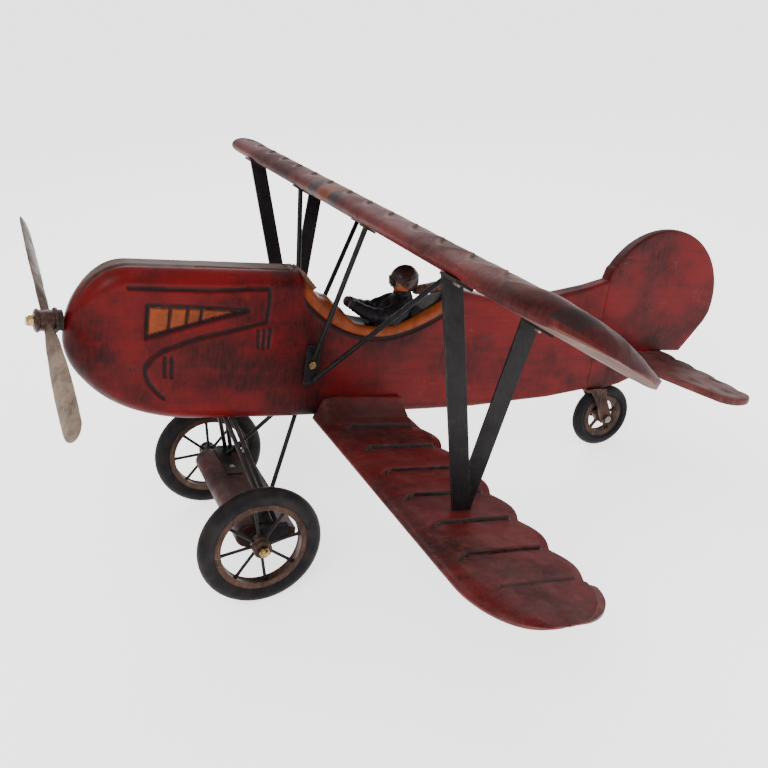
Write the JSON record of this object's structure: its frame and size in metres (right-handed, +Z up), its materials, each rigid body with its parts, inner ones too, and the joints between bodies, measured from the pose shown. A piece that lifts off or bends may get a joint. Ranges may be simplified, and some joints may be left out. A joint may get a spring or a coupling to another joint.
{
  "type": "biplane scale model",
  "caption": "Carved red wooden biplane display model with strut-braced wings, spoked wheels that roll and a propeller that spins.",
  "frame": {"origin": "centre of the bounding box at ground level, on the plane the three wheels stand on", "axes": "+X aft towards the tail, +Y to starboard along the wings, +Z up from the ground"},
  "size_m": [0.7715, 0.796, 0.3581],
  "materials": {
    "red_wood": "satin",
    "bare_wood": "matte",
    "grey_wood": "matte",
    "brown_leather": "satin",
    "jacket_paint": "satin",
    "helmet_paint": "satin",
    "goggle_frame": "satin",
    "black_iron": "satin",
    "steel": "satin",
    "brass": "polished",
    "tyre_rubber": "matte",
    "brown_iron": "satin",
    "cast_alloy": "worn",
    "bronze": "satin"
  },
  "bodies": {
    "airframe": {"fuselage": "red_wood", "tail_fin": "red_wood", "tailplane": "red_wood", "upper_wing": "red_wood", "lower_wing_left": "red_wood", "lower_wing_right": "red_wood", "wing_dowels": "bare_wood", "cockpit_ledge": "grey_wood", "cockpit_bolster": "brown_leather", "pilot_body": "jacket_paint", "pilot_head": "helmet_paint", "pilot_goggles": "goggle_frame", "strut_front_left": "black_iron", "strut_front_right": "black_iron", "strut_rear_left": "black_iron", "strut_rear_right": "black_iron", "strut_screws_left": "steel", "strut_screws_right": "steel", "cabane_front_left": "black_iron", "cabane_front_right": "black_iron", "cabane_rear_left": "black_iron", "cabane_rear_right": "black_iron", "cabane_plate_left": "black_iron", "cabane_plate_right": "black_iron", "plate_screw_left": "brass", "plate_screw_right": "brass", "gear_front_rods_left": "black_iron", "gear_front_rods_right": "black_iron", "gear_rear_rod_left": "black_iron", "gear_rear_rod_right": "black_iron", "gear_lug_left": "black_iron", "gear_lug_right": "black_iron", "axle_fairing": "red_wood", "fairing_plates": "black_iron", "fairing_screws": "steel", "axle": "steel", "wheel_nut_left": "brass", "wheel_nut_right": "brass", "tail_fork": "brown_iron", "tail_fork_screw": "steel", "tail_axle": "steel", "propeller_shaft": "steel", "propeller_nut": "brass", "propeller_washer": "black_iron"},
    "propeller": {"propeller_blades": "cast_alloy", "propeller_hub": "bronze"},
    "left_wheel": {"tyre_left": "tyre_rubber", "rim_left": "brown_iron", "spokes_left": "black_iron", "hub_left": "brown_iron"},
    "right_wheel": {"tyre_right": "tyre_rubber", "rim_right": "brown_iron", "spokes_right": "black_iron", "hub_right": "brown_iron"},
    "tail_wheel": {"tail_tyre": "tyre_rubber", "tail_rim": "brown_iron"}
  },
  "joints": [
    {"name": "propeller_spin", "type": "hinge", "parent": "airframe", "child": "propeller", "pos_m": [-0.36768, -0.00134, 0.28073], "axis": [-0.9731, -0.1045, 0.2055], "continuous": true},
    {"name": "left_wheel_spin", "type": "hinge", "parent": "airframe", "child": "left_wheel", "pos_m": [-0.22754, -0.1007, 0.06], "axis": [0, 1, 0], "continuous": true},
    {"name": "right_wheel_spin", "type": "hinge", "parent": "airframe", "child": "right_wheel", "pos_m": [-0.22754, 0.1007, 0.06], "axis": [0, 1, 0], "continuous": true},
    {"name": "tail_wheel_spin", "type": "hinge", "parent": "airframe", "child": "tail_wheel", "pos_m": [0.22989, 0, 0.0385], "axis": [0, 1, 0], "continuous": true}
  ]
}
